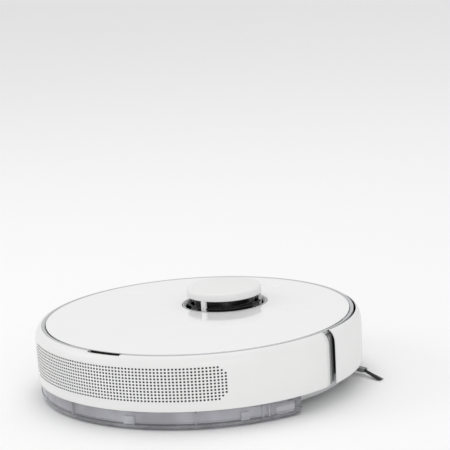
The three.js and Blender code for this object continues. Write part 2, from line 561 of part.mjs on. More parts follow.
function electronics() {
  piece("battery_pack", slab(roundedRect(-74, 74, 78.4, 142, 5), 38, 56.8, 4), darkPlastic, [0, 110, 38]);
  const chips = join(box(-84, -66, 96, 114, 27.6, 30), box(-58, -46, 96, 128, 27.6, 33));
  const circuit = join(box(-92, -40, 88, 131, 26, 27.6), chips);
  piece("main_board", circuit, board, [-66, 110, 26]);
  for (const [name, side] of [["right", 1], ["left", -1]]) {
    const plate = slab(roundedRect(side * 34 - 11, side * 34 + 11, 100, 108, 2), 9.6, 13, 3);
    piece(`charge_contact_${name}`, plate, copper, [side * 34, 104, 9.6]);
    const eye = slab(roundedRect(side * 62 - 11, side * 62 + 11, 129.5, 138.5, 2), 9.6, 15, 3);
    piece(`cliff_sensor_front_${name}`, eye, darkWindow, [side * 62, 134, 9.6]);
    const sideEye = slab(roundedRect(side * 140 - 4.5, side * 140 + 4.5, 48, 68, 2), 9.6, 15, 3);
    piece(`cliff_sensor_side_${name}`, sideEye, darkWindow, [side * 140, 58, 9.6]);
  }
}

// The tank's plan: everything behind a straight front edge, with a wing each side that reaches further
// forward.
const tankZone = (inset) =>
  join(
    box(-200, 200, -200, TANK.frontY - inset, 0, 60),
    box(TANK.wingX + inset, 200, -200, TANK.wingY - inset, 0, 60),
    box(-200, -TANK.wingX - inset, -200, TANK.wingY - inset, 0, 60),
  );

function waterTank() {
  const { topZ, lowZ, topR, lowR } = TANK;
  const skirt = [[SKIRT.r, lowZ], [SKIRT.r, SKIRT.low], [lowR - 1.5, SKIRT.low], [lowR, SKIRT.low + 1.5]];
  const outside = turned([[0, lowZ], ...skirt, [topR, topZ - 1], [topR - 1, topZ], [0, topZ]], RIM);
  const inside = turned([[0, lowZ + 2], [lowR - 8, lowZ + 2], [lowR - 8, topZ - 2], [0, topZ - 2]], RIM);
  const { inner, from, to, low, high } = LATCH;
  const pocket = arcBlock(inner - 3.4, 180, from - 0.5, to + 0.5, low - GAP, high + GAP);
  const cavity = inside.intersect(box(-120, 120, -200, TANK.frontY - 2.4, 0, 60));
  let tank = cut(outside.intersect(tankZone(0)), cavity, pocket, pocket.mirror([1, 0, 0]));
  const filler = join(upright(8, -40, -110, topZ - 5, 40, 24), upright(9.4, -40, -110, topZ - 0.9, 40, 24));
  const drips = [-50, 50].map((x) => upright(1.5, x, -120, 0, lowZ + 3, 10));
  tank = cut(tank, filler, ...drips);
  piece("water_tank", tank, smoke, [0, -120, lowZ]);
  const bung = upright(7.6, -40, -110, topZ - 4, topZ, 24);
  const plug = join(bung, upright(9, -40, -110, topZ - 0.6, topZ + 0.1, 24));
  piece("tank_plug", plug, rubber, [-40, -110, topZ]);
  const skin = turned([[inner, 0], [topR - 0.4, 0], [topR - 0.4, 30], [inner, 30]], RIM);
  const latch = skin.intersect(arcBlock(150, 180, from, to, low, high));
  piece("tank_latch_right", latch, linerGrey, [158, -60, LATCH.low]);
  piece("tank_latch_left", latch.mirror([1, 0, 0]), linerGrey, [-158, -60, LATCH.low]);
  const plateZone = (inset) => box(-200, 200, -200, MOP.frontY - inset, 0, 60);
  const mopPlate = upright(MOP.r - 6, 0, 0, MOP.padTop + 0.3, lowZ - 0.3, RIM).intersect(plateZone(5));
  piece("mop_plate", mopPlate, baseGrey, [0, -120, MOP.padTop]);
  piece("mop_pad", upright(MOP.r, 0, 0, 0, MOP.padTop, RIM).intersect(plateZone(0)), cloth, [0, -120, 0]);
}

rearShell();
bumper();
seamLiners();
trimRing();
chassisBase();
upperFrame();
lid();
frontPlate();
buttons();
lidar();
driveUnits();
caster();
brushDeck();
roller();
brushGuard();
sideBrush();
dustBin();
suctionFan();
electronics();
waterTank();

export default root;
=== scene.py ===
import json
import math
import random

import bmesh
import bpy
import numpy as np
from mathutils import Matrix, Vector
from mathutils.geometry import tessellate_polygon


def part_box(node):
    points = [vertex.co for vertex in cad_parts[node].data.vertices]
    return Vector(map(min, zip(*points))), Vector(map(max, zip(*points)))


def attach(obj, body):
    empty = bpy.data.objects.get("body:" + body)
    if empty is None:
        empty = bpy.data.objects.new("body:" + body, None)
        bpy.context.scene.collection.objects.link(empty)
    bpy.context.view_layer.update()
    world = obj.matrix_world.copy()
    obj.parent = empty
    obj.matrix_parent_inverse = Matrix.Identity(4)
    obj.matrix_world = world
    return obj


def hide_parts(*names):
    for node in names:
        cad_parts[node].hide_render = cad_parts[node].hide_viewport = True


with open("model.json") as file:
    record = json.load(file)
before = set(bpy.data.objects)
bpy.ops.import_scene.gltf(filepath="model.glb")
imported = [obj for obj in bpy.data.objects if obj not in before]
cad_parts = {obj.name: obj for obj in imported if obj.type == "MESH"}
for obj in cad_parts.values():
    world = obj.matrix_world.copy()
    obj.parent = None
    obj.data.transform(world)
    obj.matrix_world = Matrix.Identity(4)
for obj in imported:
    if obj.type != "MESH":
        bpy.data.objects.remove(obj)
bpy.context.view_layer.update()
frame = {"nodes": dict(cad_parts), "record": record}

# Camera: behind the machine and to its right, a little above it. It is rolled a few degrees, so the machine
# leans to one side in the picture.
camera = bpy.data.objects.new("camera", bpy.data.cameras.new("camera"))
bpy.context.scene.collection.objects.link(camera)
camera.location = (1.3988, -1.9416, 0.6870)
camera.rotation_euler = [math.radians(a) for a in (77.85, 3.42, 34.19)]
camera.data.lens = 184
camera.data.sensor_width = 36
bpy.context.scene.camera = camera


# Rear shell: the white outer wall round the back, injection moulded in ABS with a satin skin and clipped to
# the inner frame. The fan's air leaves through a grille of small round-cornered holes moulded in it.
WALL_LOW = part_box("rear_shell")[0].z
WALL_THICK = 0.0022
BODY_R = 0.175
SHOULDER = {"r": 0.165, "z": 0.064, "across": 0.010, "up": 0.014}
SEAM_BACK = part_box("rear_shell")[1].y
RING_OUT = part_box("trim_ring")[1].x
SLOT_HALF = 0.0205
SLOT_R = 0.1693
GRILLE = {
    "pitch": 0.00333,
    "low": 0.0322,
    "rows": 11,
    "step": math.radians(1.25),
    "half_columns": 35,
    "hole": 0.57,
}


def moulded(name, colour, roughness, grain=0.02, grain_scale=2600, drift=0.03, coat=0.0):
    """Moulded plastic: its colour and sheen drift a little from place to place, and its skin has a fine
    grain."""
    material = bpy.data.materials.new(name)
    material.use_nodes = True
    nodes, links = material.node_tree.nodes, material.node_tree.links
    shader = nodes["Principled BSDF"]
    shader.inputs["Coat Weight"].default_value = coat
    shader.inputs["Coat Roughness"].default_value = 0.04
    place = nodes.new("ShaderNodeTexCoord")
    cloudy = nodes.new("ShaderNodeTexNoise")
    cloudy.inputs["Scale"].default_value = 22
    cloudy.inputs["Detail"].default_value = 3
    links.new(place.outputs["Object"], cloudy.inputs["Vector"])
    tint = nodes.new("ShaderNodeMix")
    tint.data_type = "RGBA"
    tint.inputs["A"].default_value = (*[c * (1 - drift) for c in colour], 1)
    tint.inputs["B"].default_value = (*[min(1, c * (1 + drift)) for c in colour], 1)
    links.new(cloudy.outputs["Fac"], tint.inputs["Factor"])
    links.new(tint.outputs["Result"], shader.inputs["Base Color"])
    sheen = nodes.new("ShaderNodeMapRange")
    sheen.inputs["To Min"].default_value = roughness * 0.85
    sheen.inputs["To Max"].default_value = roughness * 1.15
    links.new(cloudy.outputs["Fac"], sheen.inputs["Value"])
    links.new(sheen.outputs["Result"], shader.inputs["Roughness"])
    speckle = nodes.new("ShaderNodeTexNoise")
    speckle.inputs["Scale"].default_value = grain_scale
    links.new(place.outputs["Object"], speckle.inputs["Vector"])
    bump = nodes.new("ShaderNodeBump")
    bump.inputs["Strength"].default_value = grain
    bump.inputs["Distance"].default_value = 0.0002
    links.new(speckle.outputs["Fac"], bump.inputs["Height"])
    links.new(bump.outputs["Normal"], shader.inputs["Normal"])
    return material


def mesh_object(name, points, faces, materials, material_index=None, smooth=True):
    """An object at the origin from corner points and faces, with its faces turned outwards and doubles
    merged."""
    mesh = bpy.data.meshes.new(name)
    mesh.from_pydata([tuple(p) for p in points], [], faces)
    for material in materials:
        mesh.materials.append(material)
    if material_index is not None:
        mesh.polygons.foreach_set("material_index", material_index)
    work = bmesh.new()
    work.from_mesh(mesh)
    bmesh.ops.remove_doubles(work, verts=work.verts, dist=2e-6)
    bmesh.ops.recalc_face_normals(work, faces=work.faces)
    work.to_mesh(mesh)
    work.free()
    mesh.polygons.foreach_set("use_smooth", [smooth] * len(mesh.polygons))
    made = bpy.data.objects.new(name, mesh)
    bpy.context.scene.collection.objects.link(made)
    return made


def wall_radius(z):
    """The outer face's radius at a height: nearly upright, then an elliptical quarter turn over the
    shoulder."""
    taper = 0.001 * ((SHOULDER["z"] - z) / (SHOULDER["z"] - WALL_LOW)) ** 2
    rise = np.clip((z - SHOULDER["z"]) / SHOULDER["up"], 0, 1)
    over = SHOULDER["r"] + SHOULDER["across"] * np.sqrt(1 - rise**2)
    return np.where(z < SHOULDER["z"], BODY_R - taper, over)


def wall_profile(lip_r, slot_row=True):
    """Points (radius, height) up the outer face, with small turned-in edges below and at the lip. A row of
    points lies at the finger slot's edge if it is asked for."""
    rows = [GRILLE["low"] + (k - 0.5) * GRILLE["pitch"] for k in range(GRILLE["rows"] + 1)]
    rise = math.asin((rows[-1] - SHOULDER["z"]) / SHOULDER["up"])
    slot = math.acos((SLOT_R - SHOULDER["r"]) / SHOULDER["across"])
    end = math.acos((lip_r - SHOULDER["r"]) / SHOULDER["across"])
    turn = [*np.linspace(rise, slot, 6)[1:], *np.linspace(slot, end, 4)[1:]]
    if not slot_row:
        turn = np.linspace(rise, end, 9)[1:]
    heights = [WALL_LOW + h for h in (0.0006, 0.002, 0.005)] + rows
    side = [(float(wall_radius(np.array(z))), z) for z in heights]
    across, up = SHOULDER["across"], SHOULDER["up"]
    top = [(SHOULDER["r"] + across * math.cos(t), SHOULDER["z"] + up * math.sin(t)) for t in turn]
    low_r = side[0][0]
    foot = [(low_r - 0.0006, WALL_LOW), (low_r - 0.0002, WALL_LOW + 0.0001)]
    return foot + side + top + [(top[-1][0] - 0.0003, top[-1][1] - 0.0003)]


def thicken(wall, thick):
    """Gives a curved wall its thickness. Its inner face and cut edges take the wall's second material, which
    on the white walls is near-black painted shade.
    """
    solid = wall.modifiers.new("wall thickness", "SOLIDIFY")
    solid.thickness = thick
    solid.offset = -1
    # The inner faces and cut edges take the second material: near-black painted shade on the white walls.
    solid.material_offset = 1
    solid.material_offset_rim = 1


def face_outwards(wall):
    """Turns a wall's faces over if its first face looks towards the middle of the machine."""
    face = wall.data.polygons[0]
    if face.normal.dot(Vector((*face.center[:2], 0))) < 0:
        wall.data.flip_normals()


def wall_piece(name, profile, end_y, angles, skip, holes, materials):
    """A curved wall: each grid cell is one face, is left out, or has a hole whose rim is eight short faces.
    A curved wall: each grid cell is one face, is left out, or has a hole whose rim is eight short faces."""
    points, faces = [], []
    ends = [math.acos(min(1, abs(end_y) / r)) for r, _ in profile]
    limit = max(abs(angles[0]), abs(angles[-1]))
    share = np.array(angles) / limit

    def at(i, j):
        """The point at column i and row j, both possibly between whole numbers."""
        j0, j1 = int(math.floor(j)), int(math.ceil(j))
        r = profile[j0][0] + (profile[j1][0] - profile[j0][0]) * (j - j0)
        z = profile[j0][1] + (profile[j1][1] - profile[j0][1]) * (j - j0)
        i0, i1 = int(math.floor(i)), int(math.ceil(i))
        a = angles[i0] + (angles[i1] - angles[i0]) * (i - i0)
        s = share[i0] + (share[i1] - share[i0]) * (i - i0)
        stretch = (ends[j0] - limit) * np.sign(s) * max(0, (abs(s) - 0.9) / 0.1)
        a = a + stretch
        turned_in = 0.0005 if i in (0, len(angles) - 1) else 0
        return ((r - turned_in) * math.sin(a), -(r - turned_in) * math.cos(a), z)

    rim = [(0, 0), (0.5, 0), (1, 0), (1, 0.5), (1, 1), (0.5, 1), (0, 1), (0, 0.5)]
    for i in range(len(angles) - 1):
        for j in range(len(profile) - 1):
            if skip(i, j):
                continue
            start = len(points)
            points += [at(i, j), at(i + 1, j), at(i + 1, j + 1), at(i, j + 1)]
            if not holes(i, j):
                faces.append([start, start + 1, start + 2, start + 3])
                continue
            for u, v in rim:
                du, dv = (u - 0.5) * GRILLE["hole"], (v - 0.5) * GRILLE["hole"]
                corner = 0.86 if abs(du) == abs(dv) else 1
                points.append(at(i + 0.5 + du * corner, j + 0.5 + dv * corner))
            for k in range(4):
                near, far, inner = start + k, start + (k + 1) % 4, start + 4
                faces.append([near, inner + 2 * k + 1, inner + 2 * k])
                faces.append([near, far, inner + (2 * k + 2) % 8, inner + 2 * k + 1])
    made = mesh_object(name, points, faces, materials)
    face_outwards(made)
    thicken(made, WALL_THICK)
    return made


white_satin = moulded("white satin plastic", (0.82, 0.82, 0.815), 0.36, grain=0.05)
# Painted shade: the white walls' inner faces and cut edges are near-black, so the grille holes, seam and
# finger slot look dark.
painted_shade_inside = moulded("painted shade inside the walls", (0.012, 0.012, 0.013), 0.7)
rear_profile = wall_profile(RING_OUT + 0.0004)
half = GRILLE["half_columns"] + 0.5
seam_angle = math.acos(-SEAM_BACK / BODY_R)
grille_columns = GRILLE["step"] * np.arange(-half, half + 1)
side_columns = np.linspace(grille_columns[-1], seam_angle, 18)[1:]
columns = [*(-side_columns[::-1]), *grille_columns, *side_columns]
columns = [columns[0] - 0.0004, *columns, columns[-1] + 0.0004]
first_hole_row = 5
first_hole_column = len(side_columns) + 1


def in_slot(i, j):
    """Whether a cell of the shoulder lies in the slot for a finger."""
    middle = (columns[i] + columns[i + 1]) / 2
    r, z = rear_profile[j]
    return r < SLOT_R + 1e-5 and z > SHOULDER["z"] and abs(middle) < SLOT_HALF / SLOT_R


def in_grille(i, j):
    """Whether a cell has a hole. The grille's ends are stepped, a column at a time, in the two outermost
    rows."""
    row, column = j - first_hole_row, i - first_hole_column
    stepped = max(0, 2 - min(row, GRILLE["rows"] - 1 - row))
    last = 2 * GRILLE["half_columns"]
    return 0 <= row < GRILLE["rows"] and stepped <= column <= last - stepped


rear_shell = wall_piece(
    "rear_shell_wall", rear_profile, SEAM_BACK, columns, in_slot, in_grille, [white_satin, painted_shade_inside]
)
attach(rear_shell, "base")
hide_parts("rear_shell")

# Bumper: the front half of the same white wall, moulded alike, hung on springs so that it can be pushed in.
# A dark window in its middle covers the sensors that look ahead.
SEAM_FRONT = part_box("bumper_shell")[0].y
BUMPER_LIP = {"r": 0.1682, "y": 0.0032}
window_low, window_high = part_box("bumper_window")
WINDOW_HALF = math.asin(window_high.x / BODY_R) + 0.002
window_rows = [window_low.z - 0.0003, window_high.z + 0.0003]


def bumper_section(angle):
    """The bumper's section at an angle from straight ahead. Its lip follows a circle that lies ahead of the
    ring."""
    lip_y, across = BUMPER_LIP["y"] * math.cos(angle), BUMPER_LIP["y"] * math.sin(angle)
    section = wall_profile(lip_y + math.sqrt(BUMPER_LIP["r"] ** 2 - across**2), slot_row=False)
    for k, w in zip(window_edges, window_rows):
        section[k] = (float(wall_radius(np.array(w))), w)
    return section


plain_rows = [z for _, z in wall_profile(BUMPER_LIP["r"], slot_row=False)]
window_edges = [min(range(len(plain_rows)), key=lambda k: abs(plain_rows[k] - w)) for w in window_rows]
bumper_end = math.acos(SEAM_FRONT / BODY_R)
bumper_columns = list(np.linspace(-bumper_end, -WINDOW_HALF, 40))
bumper_columns += list(np.linspace(-WINDOW_HALF, WINDOW_HALF, 21)[1:])
bumper_columns += list(np.linspace(WINDOW_HALF, bumper_end, 40)[1:])
bumper_columns = [bumper_columns[0] - 0.0004, *bumper_columns, bumper_columns[-1] + 0.0004]


def in_window(i, j):
    """Whether a cell lies in the hole for the sensor window."""
    middle = (bumper_columns[i] + bumper_columns[i + 1]) / 2
    return abs(middle) < WINDOW_HALF and window_edges[0] <= j < window_edges[1]


def front_wall(name, section, angles, skip, materials, thick):
    """A plain curved wall round the front, its ends cut straight across the machine beside the seam."""
    points, faces = [], []
    limit = bumper_end
    for i, a in enumerate(angles):
        for r, z in section(a):
            end = math.acos(SEAM_FRONT / r)
            b = a + (end - limit) * np.sign(a) * max(0, (abs(a) / limit - 0.9) / 0.1)
            inset = 0.0005 if i in (0, len(angles) - 1) and skip is in_window else 0
            points.append(((r - inset) * math.sin(b), (r - inset) * math.cos(b), z))
    n = len(section(0))
    for i in range(len(angles) - 1):
        for j in range(n - 1):
            if not skip(i, j):
                faces.append([i * n + j, (i + 1) * n + j, (i + 1) * n + j + 1, i * n + j + 1])
    made = mesh_object(name, points, faces, materials)
    face_outwards(made)
    thicken(made, thick)
    return made


bumper = front_wall(
    "bumper_wall", bumper_section, bumper_columns, in_window, [white_satin, painted_shade_inside], WALL_THICK
)
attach(bumper, "bumper")
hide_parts("bumper_shell")
dark_glass = moulded("dark sensor window", (0.012, 0.012, 0.015), 0.06, grain=0.0, coat=0.6)
pane_rows = np.linspace(window_low.z, window_high.z, 9)


def pane_section(angle):
    """The sensor window's section, the same all along: just inside the bumper's outer face."""
    return [(float(wall_radius(np.array(z))) - 0.0002, z) for z in pane_rows]


pane_columns = np.linspace(-WINDOW_HALF + 0.003, WINDOW_HALF - 0.003, 49)
PANE_THICK = 0.0018
pane = front_wall(
    "bumper_sensor_window", pane_section, pane_columns, lambda i, j: False, [dark_glass] * 2, PANE_THICK
)
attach(pane, "bumper")
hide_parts("bumper_window")

# Trim ring: a silver-grey ring moulded in ABS and painted satin, pressed in round the lid. It is cut away
# at the back for a fingertip.
silver = moulded("silver-grey satin paint", (0.50, 0.51, 0.52), 0.30, grain=0.01)
black_gap = moulded("black moulded plastic", (0.012, 0.012, 0.013), 0.5)


def lathe(name, profile, material, centre=(0, 0), turn=(0, 2 * math.pi), steps=192):
    """A closed profile of (radius, height) points turned about an upright axis, whole or between two
    angles."""
    whole = abs(turn[1] - turn[0] - 2 * math.pi) < 1e-9
    angles = np.linspace(turn[0], turn[1], steps + 1)[: steps if whole else None]
    r, z = np.array(profile, float).T
    grid = np.stack(
        [
            centre[0] + np.outer(np.sin(angles), r),
            centre[1] - np.outer(np.cos(angles), r),
            np.tile(z, (len(angles), 1)),
        ],
        -1,
    )
    n, m = len(profile), len(angles)
    faces = []
    for i in range(m if whole else m - 1):
        for j in range(n):
            a, b = i * n, (i + 1) % m * n
            face = [a + j, b + j, b + (j + 1) % n, a + (j + 1) % n]
            if r[j] < 1e-7 and r[(j + 1) % n] < 1e-7:
                continue
            if r[j] < 1e-7:
                face = [a + j, b + (j + 1) % n, a + (j + 1) % n]
            elif r[(j + 1) % n] < 1e-7:
                face = [a + j, b + j, a + (j + 1) % n]
            faces.append(face)
    if not whole:
        faces += [list(range(n)), [(m - 1) * n + j for j in range(n)][::-1]]
    return mesh_object(name, grid.reshape(-1, 3), faces, [material])


def rounded(corners, radius=0.0003, steps=3):
    """A closed outline with each of its corners replaced by a short arc."""
    pts = [np.array(c, float) for c in corners]
    out = []
    for k, p in enumerate(pts):
        back, ahead = pts[k - 1] - p, pts[(k + 1) % len(pts)] - p
        reach = min(radius, 0.45 * np.linalg.norm(back), 0.45 * np.linalg.norm(ahead))
        if p[0] < 1e-7:
            out.append(tuple(p))
            continue
        a, b = p + back / np.linalg.norm(back) * reach, p + ahead / np.linalg.norm(ahead) * reach
        for t in np.linspace(0, 1, steps + 1):
            out.append(tuple((1 - t) ** 2 * a + 2 * t * (1 - t) * p + t**2 * b))
    return out


LID_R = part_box("lid_panel")[1].x
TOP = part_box("trim_ring")[1].z
ring_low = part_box("trim_ring")[0].z
ring_corners = [
    (LID_R + 0.0004, ring_low),
    (RING_OUT, ring_low),
    (RING_OUT, TOP - 0.0004),
    (RING_OUT - 0.0005, TOP),
    (LID_R + 0.0026, TOP),
    (LID_R + 0.0004, TOP - 0.0018),
]
slot_angle = SLOT_HALF / RING_OUT
ring_turn = (slot_angle, 2 * math.pi - slot_angle)
ring = lathe("trim_ring_round_lid", rounded(ring_corners), silver, (0, 0), ring_turn, 220)
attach(ring, "base")
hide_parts("trim_ring")

# Lid and front plate: high-gloss white ABS panels, flush with each other. The lid lifts at its back edge on
# two curved arms. The lid's sides below its gloss top, and its underside, are black, which shows in the
# finger slot.
white_gloss = moulded("white gloss plastic", (0.92, 0.92, 0.92), 0.10, grain=0.004, drift=0.01, coat=0.5)
TURRET = (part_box("turret_cap")[0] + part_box("turret_cap")[1]) / 2
COLLAR_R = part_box("turret_collar")[1].x
NOTCH_R = COLLAR_R + 0.0006
PANEL_LOW = TOP - 0.003
HINGE = {"y": 0.052, "z": 0.0786, "inner": 0.0095, "outer": 0.0125, "x0": 0.0546, "x1": 0.0618}
SEAM = {"y": 0.052, "dip": 0.011, "start": 0.100, "end": 0.140}
HALF_SEAM = 0.0002


def seam_y(x):
    """The seam's place across the machine: straight in the middle, dipping back towards its ends."""
    t = np.clip((np.abs(x) - SEAM["start"]) / (SEAM["end"] - SEAM["start"]), 0, 1)
    return SEAM["y"] - SEAM["dip"] * t * t * (3 - 2 * t)


def seam_outline(side):
    """One panel's outline: round the rim, in along the seam, round the turret's collar and back out. side
    is -1 for the lid behind the seam and 1 for the plate ahead of it."""
    x_rim = math.sqrt(LID_R**2 - (SEAM["y"] - SEAM["dip"]) ** 2)
    y_rim = float(seam_y(x_rim)) + side * HALF_SEAM
    x_rim = math.sqrt(LID_R**2 - y_rim**2)
    start = math.atan2(x_rim, -y_rim)
    x_notch = math.sqrt(NOTCH_R**2 - (SEAM["y"] + side * HALF_SEAM - TURRET.y) ** 2)
    sweep = np.linspace(start, -start, 181) if side < 0 else np.linspace(-start, start - 2 * math.pi, 181)
    rim = [(LID_R * math.sin(a), -LID_R * math.cos(a)) for a in sweep]
    x0, x1 = (-x_rim, -x_notch) if side < 0 else (x_rim, x_notch)
    first = [(x, float(seam_y(x)) + side * HALF_SEAM) for x in np.linspace(x0, x1, 40)[1:-1]]
    y_notch = SEAM["y"] + side * HALF_SEAM
    a0 = math.atan2(-x_notch, -(y_notch - TURRET.y))
    arc = np.linspace(a0, -a0, 72) if side < 0 else np.linspace(-a0, 2 * math.pi + a0, 72)
    notch = [(NOTCH_R * math.sin(a), TURRET.y - NOTCH_R * math.cos(a)) for a in arc]
    last = [(-x, y) for x, y in first[::-1]]
    return rim + first + notch + last


def pill(cx, cy, width, depth, steps=16):
    """A flat outline with half-round ends."""
    r = depth / 2
    run = width / 2 - r
    angles = np.linspace(-math.pi / 2, math.pi / 2, steps)
    right = [(cx + run + r * math.cos(a), cy + r * math.sin(a)) for a in angles]
    left = [(cx - run - r * math.cos(a), cy - r * math.sin(a)) for a in angles]
    return right + left


def signed_area(loop):
    """A flat loop's area, which is negative if it runs clockwise."""
    x, y = np.array(loop).T
    return 0.5 * float(np.sum(x * np.roll(y, -1) - np.roll(x, -1) * y))


def plate(name, outer, holes, rings, materials, index=None):
    """A flat body: an outline and its holes, drawn at each of a list of (inset, height) levels, with flat
    ends."""
    loops = [outer if signed_area(outer) > 0 else outer[::-1]]
    loops += [h if signed_area(h) < 0 else h[::-1] for h in holes]
    points, faces, which, first = [], [], [], []
    for loop in loops:
        p = np.array(loop, float)
        ahead = np.roll(p, -1, 0) - p
        ahead /= np.linalg.norm(ahead, axis=1)[:, None]
        back = np.roll(ahead, 1, 0)
        normal = np.stack([ahead[:, 1] + back[:, 1], -ahead[:, 0] - back[:, 0]], 1)
        normal /= np.linalg.norm(normal, axis=1)[:, None]
        square = np.stack([ahead[:, 1], -ahead[:, 0]], 1)
        miter = np.clip(1 / np.maximum(0.3, np.sum(normal * square, 1)), 1, 2)
        first.append(len(points))
        n = len(p)
        for inset, z in rings:
            q = p - normal * inset * miter[:, None]
            points += [(x, y, z) for x, y in q]
        for k in range(len(rings) - 1):
            for i in range(n):
                a, b = first[-1] + k * n + i, first[-1] + k * n + (i + 1) % n
                faces.append([a, b, b + n, a + n])
                which.append(0 if index is None else index[k])
    for level in (0, len(rings) - 1):
        rows = [[f + level * len(loop) + i for i in range(len(loop))] for f, loop in zip(first, loops)]
        ids = [k for row in rows for k in row]
        flat = [[Vector(points[k]) for k in row] for row in rows]
        for triangle in tessellate_polygon(flat):
            faces.append([ids[k] for k in triangle])
            which.append(0 if index is None else index[min(level, len(rings) - 2)])
    return mesh_object(name, points, faces, materials, which, smooth=False)


def rounded_rings(low, high, edge=0.0004):
    """Levels for a plate whose upper edge is rounded."""
    upright = [(0, low), (0, high - edge - 0.0008), (0, high - edge)]
    return upright + [(edge * 0.3, high - edge * 0.3), (edge, high)]


def hinge_arm(points, faces, side):
    """Adds a curved arm centred on the lid's front edge, from under the lid down into its guide."""
    angles = np.radians(np.linspace(-162, -60, 25))
    start = len(points)
    for a in angles:
        for r, x in [("inner", "x0"), ("outer", "x0"), ("outer", "x1"), ("inner", "x1")]:
            y, z = HINGE["y"] + HINGE[r] * math.cos(a), HINGE["z"] + HINGE[r] * math.sin(a)
            points.append((side * HINGE[x], y, min(z, PANEL_LOW + 0.0006)))
    for i in range(len(angles) - 1):
        for k in range(4):
            a, b = start + 4 * i + k, start + 4 * i + (k + 1) % 4
            faces.append([a, b, b + 4, a + 4])
    last = start + 4 * (len(angles) - 1)
    faces += [[start + k for k in range(4)], [last + k for k in (3, 2, 1, 0)]]


lid_levels = [(0.0002, PANEL_LOW), (0.0002, TOP - 0.0011), (0, TOP - 0.001)]
lid_levels += rounded_rings(PANEL_LOW, TOP)[2:]
lid = plate("lid", seam_outline(-1), [], lid_levels, [white_gloss, black_gap], [1, 1, 0, 0, 0])
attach(lid, "lid")
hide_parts("lid_panel")
arm_points, arm_faces = [], []
for side in (-1, 1):
    hinge_arm(arm_points, arm_faces, side)
arms = mesh_object("lid_hinge_arms", arm_points, arm_faces, [black_gap], smooth=False)
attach(arms, "lid")
buttons = [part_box(n) for n in ("power_button", "home_button")]
KEY_GAP = 0.0006
button_holes = [
    pill((lo.x + hi.x) / 2, (lo.y + hi.y) / 2, hi.x - lo.x + KEY_GAP, hi.y - lo.y + KEY_GAP)
    for lo, hi in buttons
]
plate_levels = rounded_rings(PANEL_LOW, TOP)
front_plate = plate("front_top_plate", seam_outline(1), button_holes, plate_levels, [white_gloss])
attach(front_plate, "base")
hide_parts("front_plate")

# Buttons: two white pill-shaped keys in the front plate, moulded with the plate's gloss and held on sprung
# stems. Each rides a body of its own and presses in by under a millimetre.
for name, (lo, hi) in zip(("power_button", "home_button"), buttons):
    outline = pill((lo.x + hi.x) / 2, (lo.y + hi.y) / 2, hi.x - lo.x, hi.y - lo.y)
    key = plate(name + "_key", outline, [], rounded_rings(TOP - 0.004, hi.z), [white_gloss])
    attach(key, {"power_button": "power_key", "home_button": "home_key"}[name])
    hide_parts(name)

# Turret: a silver collar pressed into the top, and a white cap on three pillars over the spinning lidar.
# The cap gives a little when it meets furniture, and the open band under it is black inside.
collar_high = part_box("turret_collar")[1].z
CAP_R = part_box("turret_cap")[1].x
CAP_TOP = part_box("turret_cap")[1].z
COLLAR_LOW = 0.0738
bore = CAP_R + 0.0018
collar_corners = [
    (bore, COLLAR_LOW),
    (COLLAR_R, COLLAR_LOW),
    (COLLAR_R, collar_high),
    (COLLAR_R - 0.0012, collar_high),
    (bore, 0.076),
]
collar = lathe("turret_collar_ring", rounded(collar_corners), silver, (TURRET.x, TURRET.y), steps=144)
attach(collar, "base")
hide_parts("turret_collar")
CROWN_LOW = 0.0882
CROWN_ROUND = 0.0026
CROWN_CEILING = 0.089
rim_inner = CAP_R - 0.0032
crown_profile = [(0, CROWN_CEILING), (rim_inner, CROWN_CEILING), (rim_inner, CROWN_LOW), (CAP_R, CROWN_LOW)]
for t in np.linspace(0, math.pi / 2, 7):
    r = CAP_R - CROWN_ROUND + CROWN_ROUND * math.cos(t)
    crown_profile.append((r, CAP_TOP - CROWN_ROUND + CROWN_ROUND * math.sin(t)))
crown_profile.append((0, CAP_TOP))
crown = lathe("turret_cap_crown", crown_profile, white_satin, (TURRET.x, TURRET.y), steps=144)
edges = crown.modifiers.new("soft edges", "BEVEL")
edges.width = 0.0003
edges.segments = 2
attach(crown, "turret")
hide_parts("turret_cap")
PILLAR = {"inner": CAP_R - 0.0030, "outer": CAP_R - 0.0003, "low": 0.0746, "high": CROWN_LOW + 0.0003}
pillar_section = [("inner", "low"), ("outer", "low"), ("outer", "high"), ("inner", "high")]
pillar_points, pillar_faces = [], []
for turn in np.radians((0, 120, 240)):
    span = np.linspace(-0.075, 0.075, 7)
    start = len(pillar_points)
    for a in turn + span:
        for r, z in [(PILLAR[across], PILLAR[height]) for across, height in pillar_section]:
            pillar_points.append((TURRET.x + r * math.sin(a), TURRET.y - r * math.cos(a), z))
    for i in range(len(span) - 1):
        for k in range(4):
            a, b = start + 4 * i + k, start + 4 * i + (k + 1) % 4
            pillar_faces.append([a, b, b + 4, a + 4])
    last = start + 4 * (len(span) - 1)
    pillar_faces += [[start + k for k in range(4)], [last + k for k in (3, 2, 1, 0)]]
pillars = mesh_object("turret_cap_pillars", pillar_points, pillar_faces, [white_satin], smooth=False)
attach(pillars, "turret")
FOOT_LOW, FOOT_HIGH = 0.0792, 0.0802
foot_outer = CAP_R - 0.0004
foot_corners = [(rim_inner, FOOT_LOW), (foot_outer, FOOT_LOW)]
foot_corners += [(foot_outer, FOOT_HIGH), (rim_inner, FOOT_HIGH)]
foot = lathe("turret_cap_foot", rounded(foot_corners, 0.0002), black_gap, (TURRET.x, TURRET.y), steps=144)
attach(foot, "turret")

# Water tank: a clear, smoke-tinted polycarbonate box clipped under the back, welded from a tray and a top
# with a flange between them. Ribs and wider blocks inside show through it as darker patches.
tank_low, tank_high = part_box("water_tank")
TANK_FLOOR = 0.0039
SKIRT = 0.0079
TANK_R = -tank_low.y
TANK_FRONT = -0.0735
WING_X = 0.134


